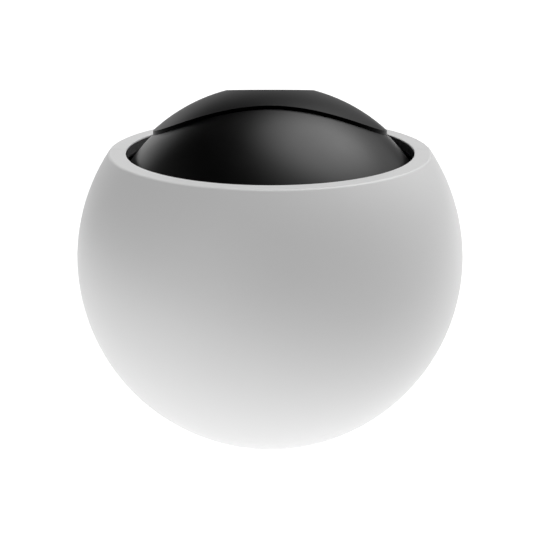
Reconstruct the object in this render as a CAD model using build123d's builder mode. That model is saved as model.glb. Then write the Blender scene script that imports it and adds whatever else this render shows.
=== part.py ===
from build123d import *
from math import cos, pi, radians, sin, sqrt
import os

# Ball-shaped smart speaker, in millimetres. Z is up, the table is at Z = 0 and the front looks along -Y.
# A pale outer shell in two halves has a level opening at the top. A black ball with a pressable cap
# stands in the opening, and the woofer under it plays out through the ring-shaped gap between them.

os.makedirs("parts", exist_ok=True)

# ---- outer shell ----
ball_r = 75.0
flat_cut = 6.3  # height of the ball that is cut off at its bottom
shell_stand = 1.3  # shell's flat underside above the table
shell_wall = 3.0
rim_rise = 43.4  # level cut of the opening, above the ball's centre
rim_width = 6.37
lip_depth = 4.7  # thick part of the shell under the flat rim
rim_fillet = 1.0
lip_edge = 0.6  # part of the lip that stays bare above the throat ring
seam_gap = 0.1

# ---- throat ring, snapped into the lip ----
ring_wall = 1.3
ring_flare = 0.6  # how much wider the ring is at its bottom
ring_bead = 0.35
bead_height = 1.0
ring_clearance = 0.1

# ---- seam dowels ----
dowel_r = 0.9
dowel_length = 6.0
dowel_end_gap = 0.4
dowel_angles = (10, -35)  # along the seam, from level

# ---- base ----
base_edge = 2.09  # width of the shell's flat underside round the base plate
base_thick = 3.0
base_step = 0.3  # how far the base plate stands below the shell
base_clearance = 0.3
base_wall = 1.1  # base plate outside the foot ring
foot_width = 5.9
foot_groove = 0.8
foot_edge = 0.4
flange_cover = 0.5  # how far the shell's flange reaches inside the foot ring
flange_thick = 2.5
ballast_gap = 1.0
ballast_thick = 8.0
ballast_edge = 0.5
base_screw_length = 11.0

# ---- black ball (dome) and its cap ----
dome_inset = 8.93  # how much smaller the black ball is than the shell's ball
dome_wall = 2.2
dome_drop = 7.4  # lower edge of the dome, below the rim
cap_step = 1.13  # how far the cap stands above the dome
cap_thick = 2.4
cap_half_width = 45.2
cap_front = 20.5  # reach of the cap's oval to the front
oval_steps = 12  # points of the oval's curve, per quarter
cap_power = 2.9  # exponent of the oval's superellipse
cap_clearance = 0.3
cap_travel = 0.6
floor_thick = 2.2  # dome's pocket floor under the cap

# ---- flat touch pad in the cap ----
pad_tilt = 10.5  # the pad leans to the rear
pad_r = 15.4
facet_edge = 1.55  # width of the flat facet round the pad
pad_thick = 1.2
pad_gap = 0.1
pad_ledge = 1.0
housing_wall = 1.2
housing_floor = 1.5
housing_depth = 5.5
housing_room = 1.5  # gap between the housing and the hole in the dome
light_r = 1.5
mic_ring = 11.0
mic_hole_r = 0.6
mic_size = (3.6, 2.6, 1.0)
pad_board_thick = 1.2

# ---- cap's posts, springs and switch ----
post_x = 32.0
post_y = 4.0
post_r = 1.6
cup_r = 3.7
cup_wall = 1.2
cup_depth = 5.4  # underside of the spring cups, below the springs' seat on the cap
cup_floor = 1.5
seat_drop = 0.83  # springs' seat below the cap's inside
spring_r = 2.7
spring_wire = 0.4
spring_turns = 4
cap_screw_length = 4.5
retainer_r = 2.6  # head of the cap's screws, wider than the posts' holes
control_board_r = 27.0
board_posts = [(23.0, 0.0), (-23.0, 0.0), (0.0, -17.0)]
board_post_r = 2.5
board_post_grip = 3.5  # length of the board's screws in the posts
board_thick = 1.6
switch_size = 6.0
switch_height = 2.5
stem_r = 1.7
stem_height = 1.3
stem_bore_depth = 1.6
plunger_wall = 0.8

# ---- sound chamber between baffle and dome ----
baffle_rise = 5.0  # underside of the baffle, above the ball's centre
baffle_thick = 4.0
baffle_inset = 0.5
baffle_screw_grip = 7.0  # length of the baffle's screws in the tub
dome_screw_grip = 6.5  # length of the dome's screws in its bosses
pillar_inset = 8.5  # pillars' ring inside the diffuser's edge
pillar_r = 4.0
diffuser_thick = 2.0
diffuser_drop = 17.0  # depth of the diffuser's point under its flat
diffuser_brim = 16.5
diffuser_inset = 0.9  # diffuser inside the dome's lower edge
diffuser_flare = 1.6  # steepness of the flare at its tip
tip_r = 2.5
mesh_thick = 0.4
seal_height = 3.6

# ---- tub, the woofer's sealed enclosure ----
tub_gap = 3.0
tub_wall = 2.5
tub_drop = 30.5  # underside of the tub, below the ball's centre
gasket_thick = 0.5
tub_screw_inset = 8.0
tub_flange_width = 11.5
tub_boss_r = 3.5
tub_boss_length = 12.0
tub_boss_end = 2.0  # solid end under each screw hole

# ---- woofer ----
woofer_r = 40.0
basket_brim = 6.2
basket_flange = 2.0
basket_depth = 18.5
basket_wall = 1.5
neck_step = 0.5  # basket's neck outside the magnet
ledge_width = 4.0
basket_ledge = 5.5  # spider's ledge above the basket's bottom
basket_window = (24.0, 8.0)
coil_r = 10.2
coil_former = 0.3
coil_winding = 0.5
pole_gap = 0.6
plate_gap = 0.7
plate_thick = 4.0
magnet_r = 22.0
magnet_thick = 8.0
magnet_gap = 2.0  # magnet's hole outside the top plate's hole
plate_inset = 1.5  # plates inside the magnet's edge
coil_drop = 3.5  # voice coil below the top plate
coil_height = 18.0
winding_height = 7.0
winding_lift = 2.0
cone_inset = 6.2  # cone's edge inside the clamp ring
cone_draft = 0.2  # thinning of the cone at its edge
cone_edge = 1.7
cone_thick = 0.7
cone_neck = 1.1  # cone's thickness where it meets the coil
cone_drop = 2.6  # cone's foot below the coil's top
surround_thick = 0.5
clamp_thick = 1.5
clamp_width = 5.5
woofer_screw_inset = 2.6
woofer_screw_end = 1.0  # how far the screws end inside the baffle's underside
vent_r = 2.5
dust_cap_r = 12.0
dust_cap_rise = 4.0
dust_cap_thick = 0.5
spider_wave = 0.9
spider_thick = 0.4
spider_folds = 10
spider_inset = 0.2

# ---- main board ----
board_drop = 52.0  # underside of the main board, below the ball's centre
board_r = 36.0
spacer_ring = 31.0
spacer_r = 2.5
spacer_socket = 1.2
spacer_angle = 20
spacer_bore = 6.0
spacer_grip = 5.0  # length of the board's screws in the spacers
shield_size = (20.0, 20.0, 3.5)
sink_size = (16.0, 10.0, 10.0)
sink_place = (0.0, -18.0)
sink_fins = 5
fin_gap = 2.0
capacitor_r = 3.2
capacitor_height = 10.0
capacitor_pitch = 8.0
capacitor_y = 19.0

# ---- rear port panel ----
port_angle = 40.0  # how far the panel looks down, below level
port_recess = 4.4  # panel's front face below the ball's surface
port_depth = 4.1  # seat of the panel's flange below its front face
port_length = 42.0
port_height = 14.0
port_flange = (54.4, 20.0)
port_board_inset = 1.0
port_block_margin = (6.0, 4.0)
port_plate = 2.0
port_flange_thick = 1.5
port_wall = 1.2
port_screw_x = 24.2
port_screw_grip = 2.3  # length of the panel screws in the shell
inlet_x = -10.0
inlet_width = 8.94
inlet_height = 3.2
inlet_depth = 7.3
inlet_wall = 0.3
inlet_sink = 0.2  # inlet's mouth below the panel's face
tongue_inset = 2.2
tongue_thick = 0.7
tongue_end = 1.0
knob_x = 4.5
knob_travel = 3.0
knob_length = 3.2
knob_height = 2.4
knob_stand = 1.6
knob_body = 3.0
knob_groove = 0.3
groove_width = 0.4
groove_pitch = 1.0
mic_switch_margin = (1.0, 2.4)
button_x = 14.0
button_r = 2.4
button_stand = 0.5
button_travel = 0.5
button_rim = 0.7
port_switch_side = 4.0
port_switch_height = 1.6
port_part_gap = 0.1

# ---- screws: shank radius, head radius, head height ----
small_screw = (0.8, 1.6, 0.9)
medium_screw = (1.2, 2.2, 1.2)
large_screw = (1.45, 2.6, 1.4)
screw_clearance = 0.05
hole_clearance = 0.25

# ---- cables inside ----
corner_angle = 45  # screws and pillars stand on the diagonals
ribbon_width = 8.0
ribbon_thick = 0.3
ribbon_start = 21.0
ribbon_corner = 29.0
ribbon_bend = (33.0, 14.0)  # last bend: its reach, and its depth below the tub's floor
ribbon_end = 31.0
lead_width = 5.0
lead_lift = 4.0
lead_thick = 0.6
lead_bends = (4.5, 8.0, 10.0)  # bends of the lead inside its reach, top to bottom
lead_fall = 8.0
lead_drop = 7.0
cable_clear = 3.0  # straight run of the cables below the tub
ribbon_slack = 2.0
ribbon_inset = 7.5  # ribbon inside the diffuser's edge, where it passes the baffle and the tub
lead_reach = 41.0  # where the speaker lead passes the tub's floor
cable_bend = 3.0
cable_slot = 0.5  # room round a cable in its slot

# ---- heights and radii that follow ----
shell_low = shell_stand
shell_drop = ball_r - flat_cut
centre_z = shell_low + shell_drop
rim_z = centre_z + rim_rise
lip_z = rim_z - lip_depth
opening_r = sqrt(ball_r**2 - rim_rise**2) - rim_width
shell_inner_r = ball_r - shell_wall
base_r = sqrt(ball_r**2 - shell_drop**2) - base_edge
foot_outer_r = base_r - base_wall
foot_inner_r = foot_outer_r - foot_width
base_screw_ring = (foot_inner_r + foot_outer_r) / 2
flange_inner_r = foot_inner_r - flange_cover
ballast_r = flange_inner_r - ballast_gap
base_low = shell_low - base_step
base_top = base_low + base_thick
flange_top = base_top + flange_thick
dome_r = ball_r - dome_inset
dome_inner_r = dome_r - dome_wall
dome_low = rim_z - dome_drop
cap_r = dome_r + cap_step
cap_inner_r = cap_r - cap_thick
floor_r = cap_inner_r - cap_travel - cap_clearance
floor_inner_r = floor_r - floor_thick
baffle_low = centre_z + baffle_rise
baffle_top = baffle_low + baffle_thick
tub_top = baffle_low - gasket_thick
tub_low = centre_z - tub_drop
tub_floor = tub_low + tub_wall
tub_r = shell_inner_r - tub_gap
tub_inner_r = tub_r - tub_wall
tub_flange_r = tub_r - tub_flange_width
tub_screw_ring = tub_r - tub_screw_inset
baffle_r = tub_r - baffle_inset
basket_r = woofer_r - basket_brim
woofer_screw_ring = woofer_r - woofer_screw_inset
clamp_inner_r = woofer_r - clamp_width
cone_r = clamp_inner_r - cone_inset
diffuser_low = dome_low - diffuser_thick
diffuser_r = sqrt(dome_r**2 - (dome_low - centre_z) ** 2) - diffuser_inset
diffuser_flat = diffuser_r - diffuser_brim
pillar_ring = diffuser_r - pillar_inset
ribbon_reach = diffuser_r - ribbon_inset
board_low = centre_z - board_drop
board_top = board_low + board_thick
facet_r = pad_r + pad_gap + facet_edge
pad_distance = sqrt(cap_r**2 - facet_r**2)  # plane of the pad from the ball's centre
cap_middle = pad_distance * sin(radians(pad_tilt))  # the cap's oval is centred on the pad
housing_r = pad_r + pad_gap + housing_wall
housing_y = (pad_distance - housing_depth) * sin(radians(pad_tilt))
housing_middle = centre_z + (pad_distance - housing_depth) * cos(radians(pad_tilt)) + housing_floor / 2
seat_z = centre_z + sqrt(cap_inner_r**2 - post_x**2 - post_y**2) - seat_drop
cup_low = seat_z - cup_depth
control_low = cup_low
control_top = control_low + board_thick
stem_top = control_top + switch_height + stem_height
port_distance = ball_r - port_recess
port_backing = port_distance - port_depth
upward = (Align.CENTER, Align.CENTER, Align.MIN)
downward = (Align.CENTER, Align.CENTER, Align.MAX)
ball_centre = (0, 0, centre_z)

pad_axis = (0, sin(radians(pad_tilt)), cos(radians(pad_tilt)))
pad_plane = Plane(origin=ball_centre, x_dir=(1, 0, 0), z_dir=pad_axis)
port_axis = (0, cos(radians(port_angle)), -sin(radians(port_angle)))
port_plane = Plane(origin=ball_centre, x_dir=(1, 0, 0), z_dir=port_axis)


def sphere_reach(radius, height):
    """Distance of a sphere about the ball's centre from the axis, at a height."""
    return sqrt(radius**2 - (height - centre_z) ** 2)


def ball_slice(radius, low, high):
    """Half section of a ball between two level cuts."""
    with BuildSketch() as section:
        with Locations((0, centre_z)):
            Circle(radius)
        with Locations((0, low)):
            Rectangle(radius, high - low, align=(Align.MIN, Align.MIN), mode=Mode.INTERSECT)
    return section.sketch


def corner_box(left, right, low, high, mode=Mode.ADD):
    """Rectangle of a half section, from two radii and two heights."""
    with Locations((left, low)):
        Rectangle(right - left, high - low, align=(Align.MIN, Align.MIN), mode=mode)


def disc(radius, low, high, mode=Mode.ADD):
    """Round plate or hole between two heights."""
    with Locations((0, 0, low)):
        Cylinder(radius, high - low, align=upward, mode=mode)


def turned(*corners):
    """Solid turned about the speaker's axis from the corners of its half section."""
    with BuildPart() as body:
        with BuildSketch(Plane.XZ):
            with BuildLine():
                Polyline(*corners, close=True)
            make_face()
        revolve(axis=Axis.Z)
    return body.part


def screw_up(size, length):
    """Pan-head screw whose shank points up from the head's upper face."""
    shank_r, head_r, head_height = size
    Cylinder(shank_r, length, align=upward)
    Cylinder(head_r, head_height, align=downward)


def screw_down(size, length):
    """Pan-head screw whose shank points down from the head's lower face."""
    shank_r, head_r, head_height = size
    Cylinder(shank_r, length, align=downward)
    Cylinder(head_r, head_height, align=upward)


def oval_plan(grow):
    """Plan of the cap: a superellipse centred on the touch pad."""
    half_width = cap_half_width + grow
    half_depth = cap_front + cap_middle + grow
    turns = [pi / 2 * step / oval_steps for step in range(1, oval_steps)]
    with BuildSketch() as plan:
        with BuildLine():
            for width in (half_width, -half_width):
                for depth in (half_depth, -half_depth):
                    inner = [
                        (
                            width * cos(turn) ** (2 / cap_power),
                            cap_middle + depth * sin(turn) ** (2 / cap_power),
                        )
                        for turn in turns
                    ]
                    points = [(width, cap_middle), *inner, (0, cap_middle + depth)]
                    Spline(*points, tangents=[(0, depth), (-width, 0)])
        make_face()
    return plan.sketch


def flat_cable(plane, thickness, width, *points):
    """Flat cable whose route lies in a plane, with its width across that plane."""
    with BuildPart() as cable:
        with BuildSketch(plane):
            with BuildLine() as route:
                FilletPolyline(*points, radius=cable_bend)
            trace(route.line, line_width=thickness)
        extrude(amount=width / 2, both=True)
    return cable.part


# ======================= outer shell =======================
with BuildPart() as shell:
    with BuildSketch(Plane.XZ):
        add(ball_slice(ball_r, shell_low, rim_z))
        add(ball_slice(shell_inner_r, flange_top, lip_z), mode=Mode.SUBTRACT)
        corner_box(0, opening_r, lip_z, rim_z, Mode.SUBTRACT)
        corner_box(0, base_r + base_clearance, shell_low, base_top, Mode.SUBTRACT)
        corner_box(0, flange_inner_r, base_top, flange_top, Mode.SUBTRACT)
        # seat of the throat ring and the groove for its bead
        seat_r = opening_r + ring_wall + ring_clearance
        corner_box(opening_r, seat_r, lip_z, rim_z - lip_edge, Mode.SUBTRACT)
        bead_z = lip_z + lip_depth / 2
        groove = bead_height / 2 + ring_clearance
        corner_box(seat_r, seat_r + ring_bead, bead_z - groove, bead_z + groove, Mode.SUBTRACT)
    revolve(axis=Axis.Z)
    rim_edges = shell.edges().filter_by(GeomType.CIRCLE).group_by(Axis.Z)[-1].sort_by(SortBy.RADIUS)
    fillet(rim_edges[-1], radius=rim_fillet)
    fillet(rim_edges[0], radius=lip_edge / 2)
    with PolarLocations(base_screw_ring, 4, start_angle=corner_angle):
        disc(large_screw[0] + hole_clearance, base_top, flange_top, Mode.SUBTRACT)
    # dowel holes along the seam, in the middle of the wall
    for side in (1, -1):
        for angle in dowel_angles:
            reach = (ball_r - shell_wall / 2) * cos(radians(angle))
            height = centre_z + (ball_r - shell_wall / 2) * sin(radians(angle))
            with Locations(Location((side * reach, 0, height), (90, 0, 0))):
                Cylinder(dowel_r + screw_clearance, dowel_length + dowel_end_gap, mode=Mode.SUBTRACT)

with BuildPart() as front_shell:
    add(shell.part)
    split(bisect_by=Plane.XZ.offset(seam_gap / 2), keep=Keep.TOP)
front_shell.part.label = "front_shell"
export_step(front_shell.part, "parts/front_shell.step")

# thick block round the port opening, with a flat back for the panel
with BuildPart() as port_block:
    with BuildSketch(port_plane.offset(port_backing)):
        SlotOverall(port_flange[0] + port_block_margin[0], port_flange[1] + port_block_margin[1])
    extrude(amount=ball_r - port_backing)
    with Locations(ball_centre):
        Sphere(ball_r - shell_wall / 2, mode=Mode.INTERSECT)

with BuildPart() as rear_shell:
    add(shell.part)
    split(bisect_by=Plane.XZ.offset(-seam_gap / 2), keep=Keep.BOTTOM)
    # room for the panel's flange where the wall is thicker than the block's setback
    with BuildSketch(port_plane.offset(port_backing - port_flange_thick)):
        SlotOverall(port_flange[0] + 2 * base_clearance, port_flange[1] + 2 * base_clearance)
    extrude(amount=port_flange_thick, mode=Mode.SUBTRACT)
    add(port_block.part)
    with BuildSketch(port_plane.offset(port_backing - shell_wall)):
        SlotOverall(port_length + 2 * base_clearance, port_height + 2 * base_clearance)
    extrude(amount=ball_r, mode=Mode.SUBTRACT)
    with BuildSketch(port_plane.offset(port_backing)):
        with GridLocations(2 * port_screw_x, 1, 2, 1):
            Circle(small_screw[0] + screw_clearance)
    extrude(amount=port_screw_grip + hole_clearance, mode=Mode.SUBTRACT)
rear_shell.part.label = "rear_shell"
export_step(rear_shell.part, "parts/rear_shell.step")

with BuildPart() as seam_dowels:
    for side in (1, -1):
        for angle in dowel_angles:
            reach = (ball_r - shell_wall / 2) * cos(radians(angle))
            height = centre_z + (ball_r - shell_wall / 2) * sin(radians(angle))
            with Locations(Location((side * reach, 0, height), (90, 0, 0))):
                Cylinder(dowel_r, dowel_length)
seam_dowels.part.label = "seam_dowels"
export_step(seam_dowels.part, "parts/seam_dowels.step")

with BuildPart() as throat_ring:
    ring_top = rim_z - lip_edge - ring_clearance
    ring_inner = opening_r + ring_clearance
    ring_outer = seat_r - ring_clearance
    add(
        turned(
            (ring_inner, ring_top),
            (ring_inner + ring_flare, lip_z),
            (ring_outer, lip_z),
            (ring_outer, bead_z - bead_height / 2),
            (ring_outer + ring_bead, bead_z - bead_height / 2),
            (ring_outer + ring_bead, bead_z + bead_height / 2),
            (ring_outer, bead_z + bead_height / 2),
            (ring_outer, ring_top),
        )
    )
throat_ring.part.label = "throat_ring"
export_step(throat_ring.part, "parts/throat_ring.step")

# ======================= base =======================
head_low = base_low + foot_groove
with BuildPart() as base_plate:
    disc(base_r, base_low, base_top)
    with BuildSketch(Plane.XY.offset(base_low)):
        Circle(foot_outer_r + base_clearance / 2)
        Circle(foot_inner_r - base_clearance / 2, mode=Mode.SUBTRACT)
    extrude(amount=foot_groove, mode=Mode.SUBTRACT)
    with PolarLocations(base_screw_ring, 4, start_angle=corner_angle):
        disc(large_screw[1] + hole_clearance, head_low, head_low + large_screw[2], Mode.SUBTRACT)
        disc(large_screw[0] + hole_clearance, head_low, base_top, Mode.SUBTRACT)
base_plate.part.label = "base_plate"
export_step(base_plate.part, "parts/base_plate.step")

with BuildPart() as foot_ring:
    with BuildSketch():
        Circle(foot_outer_r)
        Circle(foot_inner_r, mode=Mode.SUBTRACT)
    extrude(amount=head_low)
    fillet(foot_ring.edges().group_by(Axis.Z)[0], radius=foot_edge)
foot_ring.part.label = "foot_ring"
export_step(foot_ring.part, "parts/foot_ring.step")

with BuildPart() as base_screws:
    with PolarLocations(base_screw_ring, 4, start_angle=corner_angle):
        with Locations((0, 0, head_low + large_screw[2])):
            screw_up(large_screw, base_screw_length)
base_screws.part.label = "base_screws"
export_step(base_screws.part, "parts/base_screws.step")

with BuildPart() as ballast:
    disc(ballast_r, base_top, base_top + ballast_thick)
    chamfer(ballast.edges(), length=ballast_edge)
ballast.part.label = "ballast"
export_step(ballast.part, "parts/ballast.step")

# ======================= tub and baffle =======================
with BuildPart() as tub:
    with BuildSketch(Plane.XZ):
        add(ball_slice(tub_r, tub_low, tub_top))
        add(ball_slice(tub_inner_r, tub_floor, tub_top - tub_wall), mode=Mode.SUBTRACT)
        corner_box(0, tub_flange_r, tub_top - tub_wall, tub_top, Mode.SUBTRACT)
    revolve(axis=Axis.Z)
    with PolarLocations(tub_screw_ring, 6):
        disc(tub_boss_r, tub_top - tub_boss_length, tub_top)
    with PolarLocations(tub_screw_ring, 6):
        hole_end = tub_top - tub_boss_length + tub_boss_end
        disc(large_screw[0] + screw_clearance, hole_end, tub_top, Mode.SUBTRACT)
    # legs down to the shell's flange
    with PolarLocations(base_screw_ring, 4, start_angle=corner_angle):
        disc(tub_boss_r, flange_top, tub_low)
    with PolarLocations(base_screw_ring, 4, start_angle=corner_angle):
        disc(large_screw[0] + screw_clearance, flange_top, flange_top + base_screw_length, Mode.SUBTRACT)
    # sockets of the board spacers
    with PolarLocations(spacer_ring, 4, start_angle=spacer_angle):
        disc(spacer_r + screw_clearance, tub_low, tub_low + spacer_socket, Mode.SUBTRACT)
    # slots of the two cables
    with Locations((0, -ribbon_reach, tub_low)):
        Box(ribbon_width + cable_slot, ribbon_thick + cable_slot, 2 * tub_wall + 1, mode=Mode.SUBTRACT)
    with Locations((lead_reach, 0, tub_low)):
        Box(lead_thick + cable_slot, lead_width + cable_slot, 2 * tub_wall + 1, mode=Mode.SUBTRACT)
tub.part.label = "tub"
export_step(tub.part, "parts/tub.step")

with BuildPart() as tub_gasket:
    with BuildSketch(Plane.XY.offset(tub_top)):
        Circle(sphere_reach(tub_r, tub_top) - base_clearance)
        Circle(tub_flange_r, mode=Mode.SUBTRACT)
        with PolarLocations(tub_screw_ring, 6):
            Circle(large_screw[0] + hole_clearance, mode=Mode.SUBTRACT)
    extrude(amount=gasket_thick)
tub_gasket.part.label = "tub_gasket"
export_step(tub_gasket.part, "parts/tub_gasket.step")

with BuildPart() as baffle:
    disc(baffle_r, baffle_low, baffle_top)
    disc(basket_r + hole_clearance, baffle_low, baffle_top, Mode.SUBTRACT)
    with PolarLocations(tub_screw_ring, 6):
        disc(large_screw[0] + hole_clearance, baffle_low, baffle_top, Mode.SUBTRACT)
    with PolarLocations(pillar_ring, 4, start_angle=corner_angle):
        disc(large_screw[0] + hole_clearance, baffle_low, baffle_top, Mode.SUBTRACT)
    with PolarLocations(woofer_screw_ring, 4):
        disc(medium_screw[0] + screw_clearance, baffle_low, baffle_top, Mode.SUBTRACT)
    with Locations((0, -ribbon_reach, baffle_low)):
        Box(ribbon_width + cable_slot, ribbon_thick + cable_slot, 3 * baffle_thick, mode=Mode.SUBTRACT)
baffle.part.label = "baffle"
export_step(baffle.part, "parts/baffle.step")

with BuildPart() as baffle_screws:
    with PolarLocations(tub_screw_ring, 6):
        with Locations((0, 0, baffle_top)):
            screw_down(large_screw, baffle_thick + gasket_thick + baffle_screw_grip)
baffle_screws.part.label = "baffle_screws"
export_step(baffle_screws.part, "parts/baffle_screws.step")

with BuildPart() as edge_seal:
    seal_low = baffle_low + (baffle_thick - seal_height) / 2
    seal_outer_r = sphere_reach(shell_inner_r, seal_low + seal_height) - ring_clearance
    with BuildSketch(Plane.XY.offset(seal_low)):
        Circle(seal_outer_r)
        Circle(baffle_r + ring_clearance, mode=Mode.SUBTRACT)
    extrude(amount=seal_height)
edge_seal.part.label = "edge_seal"
export_step(edge_seal.part, "parts/edge_seal.step")

# ======================= woofer =======================
basket_top = baffle_top + basket_flange
basket_low = baffle_top - basket_depth
plate_r = coil_r + coil_winding + plate_gap
pole_r = coil_r - coil_former - pole_gap
plate_low = basket_low - plate_thick
magnet_low = plate_low - magnet_thick
yoke_low = magnet_low - plate_thick
ledge_z = basket_low + basket_ledge
neck_r = magnet_r + neck_step
neck_z = basket_low + basket_wall
with BuildPart() as basket:
    add(
        turned(
            (plate_r, basket_low),
            (neck_r, basket_low),
            (neck_r, neck_z),
            (basket_r, baffle_top),
            (woofer_r, baffle_top),
            (woofer_r, basket_top),
            (basket_r - basket_wall, basket_top),
            (basket_r - basket_wall, baffle_top),
            (magnet_r, ledge_z),
            (magnet_r - ledge_width, ledge_z),
            (magnet_r - ledge_width, neck_z),
            (plate_r, neck_z),
        )
    )
    # windows between the four arms
    with PolarLocations(basket_r, 4):
        with Locations((0, 0, ledge_z + basket_wall)):
            Box(2 * (basket_r - neck_r + basket_wall), *basket_window, align=upward, mode=Mode.SUBTRACT)
    with PolarLocations(woofer_screw_ring, 4):
        disc(medium_screw[0] + screw_clearance, baffle_top, basket_top, Mode.SUBTRACT)
basket.part.label = "basket"
export_step(basket.part, "parts/basket.step")

with BuildPart() as top_plate:
    disc(magnet_r - plate_inset, plate_low, basket_low)
    disc(plate_r, plate_low, basket_low, Mode.SUBTRACT)
top_plate.part.label = "top_plate"
export_step(top_plate.part, "parts/top_plate.step")

with BuildPart() as magnet:
    disc(magnet_r, magnet_low, plate_low)
    disc(plate_r + magnet_gap, magnet_low, plate_low, Mode.SUBTRACT)
magnet.part.label = "magnet"
export_step(magnet.part, "parts/magnet.step")

with BuildPart() as yoke:
    disc(magnet_r - plate_inset, yoke_low, magnet_low)
    disc(pole_r, magnet_low, basket_low)
    disc(vent_r, yoke_low, basket_low, Mode.SUBTRACT)
yoke.part.label = "yoke"
export_step(yoke.part, "parts/yoke.step")

coil_low = plate_low - coil_drop
coil_top = coil_low + coil_height
winding_low = coil_low + winding_lift
winding_top = winding_low + winding_height
with BuildPart() as voice_coil:
    add(
        turned(
            (coil_r - coil_former, coil_low),
            (coil_r, coil_low),
            (coil_r, winding_low),
            (coil_r + coil_winding, winding_low),
            (coil_r + coil_winding, winding_top),
            (coil_r, winding_top),
            (coil_r, coil_top),
            (coil_r - coil_former, coil_top),
        )
    )
voice_coil.part.label = "voice_coil"
export_step(voice_coil.part, "parts/voice_coil.step")

edge_inner_r = cone_r - cone_edge
edge_top = basket_top
edge_low = edge_top - cone_thick
cone_foot = coil_top - cone_drop
cone_slope = (edge_top - cone_foot - cone_neck) / (edge_inner_r - coil_r)
with BuildPart() as cone:
    add(
        turned(
            (coil_r, cone_foot),
            (edge_inner_r + cone_draft, edge_low),
            (cone_r, edge_low),
            (cone_r, edge_top),
            (edge_inner_r, edge_top),
            (coil_r, cone_foot + cone_neck),
        )
    )
cone.part.label = "cone"
export_step(cone.part, "parts/cone.step")

cap_foot_z = cone_foot + cone_neck + cone_slope * (dust_cap_r - coil_r)
cap_edge_z = cap_foot_z + cone_slope * dust_cap_thick
with BuildPart() as dust_cap:
    with BuildSketch(Plane.XZ):
        with BuildLine():
            crown = cap_foot_z + dust_cap_rise
            TangentArc((0, crown), (dust_cap_r, cap_foot_z), tangent=(1, 0))
            Line((dust_cap_r, cap_foot_z), (dust_cap_r + dust_cap_thick, cap_edge_z))
            outer_foot = (dust_cap_r + dust_cap_thick, cap_edge_z)
            TangentArc((0, crown + dust_cap_thick), outer_foot, tangent=(1, 0))
            Line((0, crown + dust_cap_thick), (0, crown))
        make_face()
    revolve(axis=Axis.Z)
dust_cap.part.label = "dust_cap"
export_step(dust_cap.part, "parts/dust_cap.step")

with BuildPart() as surround:
    roll_inner = (clamp_inner_r - cone_r) / 2 - surround_thick
    roll_centre = (clamp_inner_r + cone_r) / 2
    with BuildSketch(Plane.XZ):
        with Locations((roll_centre, basket_top)):
            Circle(roll_inner + surround_thick)
            Circle(roll_inner, mode=Mode.SUBTRACT)
        corner_box(edge_inner_r, woofer_r, basket_top, basket_top + woofer_r, Mode.INTERSECT)
        corner_box(edge_inner_r, cone_r + surround_thick, basket_top, basket_top + surround_thick)
        corner_box(clamp_inner_r - surround_thick, woofer_r, basket_top, basket_top + surround_thick)
    revolve(axis=Axis.Z)
    with PolarLocations(woofer_screw_ring, 4):
        disc(medium_screw[0] + screw_clearance, basket_top, basket_top + surround_thick, Mode.SUBTRACT)
surround.part.label = "surround"
export_step(surround.part, "parts/surround.step")

with BuildPart() as spider:
    step_r = (magnet_r - spider_inset - coil_r) / spider_folds
    lower = []
    for fold in range(spider_folds + 1):
        flat_end = fold in (0, spider_folds)
        rise = 0 if flat_end else spider_wave * (fold % 2)
        lower.append((coil_r + step_r * fold, ledge_z + rise))
    upper = [(radius, height + spider_thick) for radius, height in reversed(lower)]
    add(turned(*lower, *upper))
spider.part.label = "spider"
export_step(spider.part, "parts/spider.step")

clamp_low = basket_top + surround_thick
clamp_top = clamp_low + clamp_thick
with BuildPart() as clamp_ring:
    disc(woofer_r, clamp_low, clamp_top)
    disc(clamp_inner_r, clamp_low, clamp_top, Mode.SUBTRACT)
    with PolarLocations(woofer_screw_ring, 4):
        disc(medium_screw[0] + screw_clearance, clamp_low, clamp_top, Mode.SUBTRACT)
clamp_ring.part.label = "clamp_ring"
export_step(clamp_ring.part, "parts/clamp_ring.step")

with BuildPart() as woofer_screws:
    with PolarLocations(woofer_screw_ring, 4):
        with Locations((0, 0, clamp_top)):
            screw_down(medium_screw, clamp_top - baffle_low - woofer_screw_end)
woofer_screws.part.label = "woofer_screws"
export_step(woofer_screws.part, "parts/woofer_screws.step")

# ======================= sound chamber =======================
with BuildPart() as pillars:
    with PolarLocations(pillar_ring, 4, start_angle=corner_angle):
        disc(pillar_r, baffle_top, diffuser_low)
    with PolarLocations(pillar_ring, 4, start_angle=corner_angle):
        disc(large_screw[0] + hole_clearance, baffle_top, diffuser_low, Mode.SUBTRACT)
pillars.part.label = "pillars"
export_step(pillars.part, "parts/pillars.step")

with BuildPart() as diffuser:
    point_z = diffuser_low - diffuser_drop
    with BuildSketch(Plane.XZ):
        with BuildLine():
            flare = [(1, diffuser_flare), (1, 0)]
            Spline((tip_r, point_z), (diffuser_flat, diffuser_low), tangents=flare)
            Polyline(
                (diffuser_flat, diffuser_low),
                (diffuser_r, diffuser_low),
                (diffuser_r, dome_low),
                (diffuser_flat, dome_low),
            )
            Spline((tip_r, point_z + diffuser_thick), (diffuser_flat, dome_low), tangents=flare)
            Polyline(
                (tip_r, point_z + diffuser_thick),
                (0, point_z + diffuser_thick),
                (0, point_z),
                (tip_r, point_z),
            )
        make_face()
    revolve(axis=Axis.Z)
    with PolarLocations(pillar_ring, 4, start_angle=corner_angle):
        disc(large_screw[0] + hole_clearance, diffuser_low, dome_low, Mode.SUBTRACT)
    with Locations((0, -ribbon_reach, diffuser_low)):
        Box(ribbon_width + cable_slot, ribbon_thick + cable_slot, 3 * diffuser_thick, mode=Mode.SUBTRACT)
diffuser.part.label = "diffuser"
export_step(diffuser.part, "parts/diffuser.step")

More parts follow.
